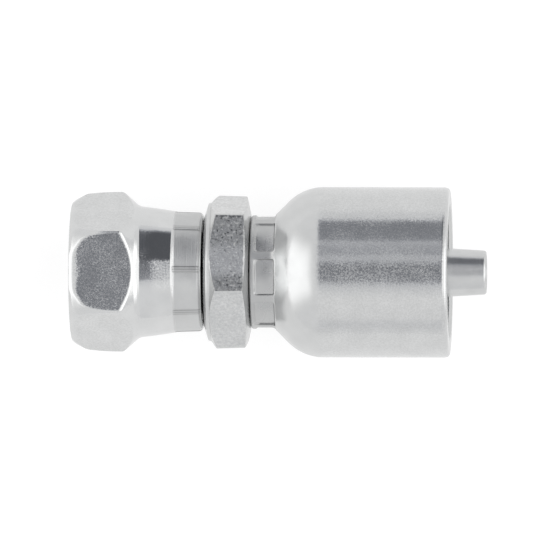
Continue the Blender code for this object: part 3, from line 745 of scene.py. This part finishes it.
bead_x, bead_rows = eased([
    (inner_dome_x[-1] - SEAM, inner_dome[-1] - SEAM * inner_fall, 0),
    (inner_cone_start, STAKED_BORE_RADIUS, WIDE_EASING),
    (groove_middle + bead_half, STAKED_BORE_RADIUS, PLAIN_EASING),
    (groove_middle + bead_half - bead_side, bead_radius, PLAIN_EASING),
    (groove_middle - bead_half + bead_side, bead_radius, PLAIN_EASING),
    (groove_middle - bead_half, STAKED_BORE_RADIUS, PLAIN_EASING),
    (FERRULE_START, STAKED_BORE_RADIUS, EDGE_EASING),
    (FERRULE_START, STAKED_RADIUS - LIP_CHAMFER - SEAM, 0),
], BEAD_SPACING, steps=3)

rest_x = np.concatenate([dome_x, outer_x, ring_x, inner_dome_x, bead_x])
rest_radius = np.concatenate([dome_radius, outer_radius, ring_radius, inner_dome, bead_rows])
frosted = (smooth_step(dome_end - FROSTED_START[0], dome_end + FROSTED_START[1], rest_x)
           * (1 - smooth_step(-EDGE_LENGTH, 0, rest_x - FERRULE_END))
           * (rest_radius > SOCKET_RADIUS + SOCKET_MARGIN))
ferrule = ring_piece(
    "ferrule_turned",
    spread(np.concatenate([staked_x, rest_x]), ferrule_angles),
    np.concatenate([staked_rows, spread(rest_radius, ferrule_angles)]),
    ferrule_angles,
    rolled=np.concatenate([0 * staked_mark, spread(frosted, ferrule_angles)]),
    squeezed=np.concatenate([staked_mark, 0 * spread(rest_x, ferrule_angles)]),
    crease=np.concatenate([pocket_painted_shade, 0 * spread(rest_x, ferrule_angles)]))
ferrule.data.materials.append(plated_steel(
    "ferrule_zinc", colour=(0.62, 0.625, 0.625), grain=0.16 * MM,
    roughness=(0.2, 0.13, 0.28), speckle=(0.05, 0.14, 0.2), scoring=(0, 0, 0.003),
    swell=(0.008, 0.012, 0.08), shade=(1, 1, 0.81)))
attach(ferrule, "stem")
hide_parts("ferrule")

# Table
# A plain white sheet that the fitting lies on, touching the nut's lower front edge and the start
# of the ferrule's cylinder, the two lowest places of a fitting that lies by itself.
TABLE_RADIUS = 1.0
TABLE_EDGES = 96
NUT_TOUCH = 0.4 * MM              # from the nut's front face
FERRULE_TOUCH = 1.2 * MM          # before the dome's end
SHEET_COLOUR = (0.26, 0.26, 0.26, 1)
SHEET_ROUGHNESS = 0.9
SHEET_GLOW = 0.80                 # to the camera
MIRRORED_GLOW = 0.72              # in the steel
BOUNCE_COLOUR = (0.86, 0.86, 0.86, 1)     # to light that it scatters

nut_touch = Vector((NUT_FRONT + NUT_TOUCH, 0, -NUT_FLATS / 2))
ferrule_touch = Vector((dome_end - FERRULE_TOUCH, 0, -FERRULE_RADIUS))
table_slope = math.atan2(nut_touch.z - ferrule_touch.z, ferrule_touch.x - nut_touch.x)
round_edge = np.arange(TABLE_EDGES) * TURN / TABLE_EDGES
across_table = TABLE_RADIUS * np.cos(round_edge)
sheet = bpy.data.meshes.new("table_sheet")
sheet.from_pydata(np.stack([
    nut_touch.x + across_table * math.cos(table_slope),
    TABLE_RADIUS * np.sin(round_edge),
    nut_touch.z - SEAM / 2 - across_table * math.sin(table_slope),
], axis=-1).tolist(), [], [list(range(TABLE_EDGES))])
table = bpy.data.objects.new("table_sheet", sheet)
bpy.context.scene.collection.objects.link(table)
paper = bpy.data.materials.new("white_sheet")
paper.use_nodes = True
paper_nodes = paper.node_tree.nodes
paper_link = paper.node_tree.links.new
matt = paper_nodes["Principled BSDF"]
matt.inputs["Base Color"].default_value = SHEET_COLOUR
matt.inputs["Roughness"].default_value = SHEET_ROUGHNESS
matt.inputs["Specular IOR Level"].default_value = 0.0
ray = paper_nodes.new("ShaderNodeLightPath")
glow = paper_nodes.new("ShaderNodeMapRange")
glow.inputs["To Min"].default_value = SHEET_GLOW
glow.inputs["To Max"].default_value = MIRRORED_GLOW
paper_link(ray.outputs["Is Glossy Ray"], glow.inputs["Value"])
backing = paper_nodes.new("ShaderNodeEmission")
paper_link(glow.outputs["Result"], backing.inputs["Strength"])
shown = paper_nodes.new("ShaderNodeAddShader")
paper_link(matt.outputs["BSDF"], shown.inputs[0])
paper_link(backing.outputs["Emission"], shown.inputs[1])
plain = paper_nodes.new("ShaderNodeBsdfDiffuse")
plain.inputs["Color"].default_value = BOUNCE_COLOUR
seen = paper_nodes.new("ShaderNodeMath")
seen.operation = "MAXIMUM"
paper_link(ray.outputs["Is Camera Ray"], seen.inputs[0])
paper_link(ray.outputs["Is Glossy Ray"], seen.inputs[1])
choice = paper_nodes.new("ShaderNodeMixShader")
paper_link(seen.outputs["Value"], choice.inputs["Fac"])
paper_link(plain.outputs["BSDF"], choice.inputs[1])
paper_link(shown.outputs["Shader"], choice.inputs[2])
paper_link(choice.outputs["Shader"], paper_nodes["Material Output"].inputs["Surface"])
sheet.materials.append(paper)

# Light
# A white tent round the table, brighter towards both ends of the fitting, and overhead the dark
# gap that the photograph was taken through. All strengths go by the degrees from overhead.
OVER_BODY = (                     # across the gap, in the part of it that cylinders mirror
    (-90, 0.93), (-83, 0.90), (-79, 0.84), (-72, 0.86), (-66, 0.97), (-36, 1.0), (-26, 0.90),
    (-16, 0.72), (-12, 0.32), (8, 0.25), (13, 0.40), (16, 0.66), (20, 0.66), (24, 0.44),
    (37, 0.51), (40, 0.68), (43, 0.50), (47, 0.33), (71, 0.30), (74, 0.52), (77, 0.88),
    (90, 0.92))
OVER_TAIL = (                     # in the part that the tail mirrors
    (-90, 0.90), (-60, 0.88), (-30, 0.95), (-16, 0.92), (-10, 0.92), (16, 0.88), (34, 0.70),
    (42, 0.36), (48, 0.22), (70, 0.20), (76, 0.30), (82, 0.84), (90, 0.90))
OVER_SLEEVE = (                   # in the part that the nut's sleeve mirrors
    (-90, 0.97), (-60, 0.92), (-30, 0.90), (-18, 0.76), (-12, 0.26), (16, 0.19), (20, 0.15),
    (24, 0.12), (76, 0.12), (80, 0.24), (84, 0.84), (90, 0.92))
OVER_LENGTH = (                   # along the fitting, outside the gap
    (-90, 1.68), (-34, 1.58), (-20, 0.97), (14, 0.97), (21, 1.42), (55, 1.42), (59, 2.70),
    (73, 2.70), (78, 1.55), (85, 1.45), (90, 0.85))
GAP_OPENS = (math.radians(-11), math.radians(-4))    # angles towards the tail's end
GAP_CLOSES = (math.radians(20), math.radians(15))
EARLY_CLOSING = math.radians(4.5)    # how much sooner it closes on the side towards the picture's
EARLY_SIDE = (math.radians(26), math.radians(19))    # lower edge, and where that side begins
TAIL_STARTS = (math.radians(1), math.radians(2.5))   # where the tail's strengths take over
SLEEVE_STARTS = (math.radians(6.5), math.radians(8.5))
TENT_STRENGTH = 0.95              # at the tent's sides
ENDS_FADE = (0.70, 0.30)          # size of a direction's Y where the ends' strengths set in
GAP_TINT = (0.92, 0.96, 1.08, 1)  # where it is darkest
TOP_STRENGTH = 3                  # a ramp holds strengths as shares of this
WHITE = (1, 1, 1, 1)

world = bpy.data.worlds.new("tent")
bpy.context.scene.world = world
world.use_nodes = True
sky = world.node_tree
sky_link = sky.links.new


def sky_math(operation, *values):
    """Arithmetic in the world's nodes on values and numbers."""
    node = sky.nodes.new("ShaderNodeMath")
    node.operation = operation
    for socket, value in zip(node.inputs, values):
        if isinstance(value, (int, float)):
            socket.default_value = value
        else:
            sky_link(value, socket)
    return node.outputs["Value"]


def sky_step(value, start, end):
    """0 at `start` and 1 at `end`, smoothly, whichever of them is the greater."""
    node = sky.nodes.new("ShaderNodeMapRange")
    node.interpolation_type = "SMOOTHSTEP"
    rising = start < end
    numbers = (min(start, end), max(start, end), 0 if rising else 1, 1 if rising else 0)
    for socket, number in zip(node.inputs[1:5], numbers):
        socket.default_value = number
    sky_link(value, node.inputs["Value"])
    return node.outputs["Result"]


def sky_profile(angle, levels):
    """Strength by the angle from overhead, straight between (degrees, strength) levels."""
    ramp = sky.nodes.new("ShaderNodeValToRGB")
    stops = ramp.color_ramp.elements
    stops.remove(stops[1])
    for index, (degrees, strength) in enumerate(levels):
        place = degrees / 180 + 0.5
        stop = stops.new(place) if index else stops[0]
        stop.position = place
        share = strength / TOP_STRENGTH
        stop.color = (share, share, share, 1)
    sky_link(sky_math("ADD", sky_math("DIVIDE", angle, math.pi), 0.5), ramp.inputs["Fac"])
    return sky_math("MULTIPLY", ramp.outputs["Color"], TOP_STRENGTH)


direction = sky.nodes.new("ShaderNodeTexCoord")
split = sky.nodes.new("ShaderNodeSeparateXYZ")
sky_link(direction.outputs["Generated"], split.inputs["Vector"])
to_end = sky_math("ARCSINE", split.outputs["X"])
to_side = sky_math("ARCTAN2", split.outputs["Y"], split.outputs["Z"])
to_horizon = sky_math("ARCTAN2", split.outputs["X"], split.outputs["Z"])
early = sky_math("MULTIPLY", sky_step(to_side, *EARLY_SIDE), EARLY_CLOSING)
in_gap = sky_math("MULTIPLY", sky_step(to_end, *GAP_OPENS),
                  sky_step(sky_math("ADD", to_end, early), *GAP_CLOSES))
tail_share = sky_step(to_end, *TAIL_STARTS)
sleeve_share = sky_step(to_end, *SLEEVE_STARTS)
gap_level = sky_math("ADD", sky_math("ADD", sky_math(
    "MULTIPLY", sky_profile(to_side, OVER_BODY), sky_math("SUBTRACT", 1, tail_share)), sky_math(
    "MULTIPLY", sky_profile(to_side, OVER_TAIL), sky_math("SUBTRACT", tail_share, sleeve_share))),
    sky_math("MULTIPLY", sky_profile(to_side, OVER_SLEEVE), sleeve_share))
near_ends = sky_step(sky_math("ABSOLUTE", split.outputs["Y"]), *ENDS_FADE)
tent_level = sky_math("ADD", TENT_STRENGTH, sky_math("MULTIPLY", near_ends, sky_math(
    "SUBTRACT", sky_profile(to_horizon, OVER_LENGTH), TENT_STRENGTH)))
level = sky_math("ADD", sky_math("MULTIPLY", gap_level, in_gap),
                 sky_math("MULTIPLY", tent_level, sky_math("SUBTRACT", 1, in_gap)))
backdrop = sky.nodes["Background"]
backdrop.inputs["Color"].default_value = WHITE
backdrop.inputs["Strength"].default_value = 1.0
tint = sky.nodes.new("ShaderNodeMixRGB")
tint.inputs["Color1"].default_value = GAP_TINT
tint.inputs["Color2"].default_value = WHITE
sky_link(level, tint.inputs["Fac"])
tent = sky.nodes.new("ShaderNodeBackground")
sky_link(tint.outputs["Color"], tent.inputs["Color"])
sky_link(level, tent.inputs["Strength"])
sky_ray = sky.nodes.new("ShaderNodeLightPath")
either = sky.nodes.new("ShaderNodeMixShader")
sky_link(sky_ray.outputs["Is Camera Ray"], either.inputs["Fac"])
sky_link(tent.outputs["Background"], either.inputs[1])
sky_link(backdrop.outputs["Background"], either.inputs[2])
sky_link(either.outputs["Shader"], sky.nodes["World Output"].inputs["Surface"])

# Camera
# It looks straight down at the table through a long lens. The ferrule props up its end of the
# fitting, so the axis is tipped a little towards the lens, and it runs down to the right by a hair.
PIXEL = 0.12535 * MM              # at the fitting's axis
PHOTO_PIXELS = 550
ORIGIN_PIXEL = (279.3, 272.1)
VIEW_TILT = math.radians(2.9)
VIEW_ROLL = math.radians(0.13)
LENS = 1000.0                     # both in millimetres
SENSOR = 36.0
CLIP_START = 0.01

view_distance = PIXEL * PHOTO_PIXELS * LENS / SENSOR
towards = Vector((math.sin(VIEW_TILT), 0, math.cos(VIEW_TILT)))
level_right = Vector((math.cos(VIEW_TILT), 0, -math.sin(VIEW_TILT)))
level_up = Vector((0, 1, 0))
right = level_right * math.cos(VIEW_ROLL) + level_up * math.sin(VIEW_ROLL)
upward = level_up * math.cos(VIEW_ROLL) - level_right * math.sin(VIEW_ROLL)
aim = (right * (PHOTO_PIXELS / 2 - ORIGIN_PIXEL[0])
       - upward * (PHOTO_PIXELS / 2 - ORIGIN_PIXEL[1])) * PIXEL
lens = bpy.data.cameras.new("camera")
lens.lens = LENS
lens.sensor_width = SENSOR
lens.clip_start = CLIP_START
camera = bpy.data.objects.new("camera", lens)
bpy.context.scene.collection.objects.link(camera)
facing = Matrix((right, upward, towards)).transposed().to_4x4()
camera.matrix_world = Matrix.Translation(aim + towards * view_distance) @ facing
bpy.context.scene.camera = camera
bpy.context.scene.view_settings.view_transform = "Standard"
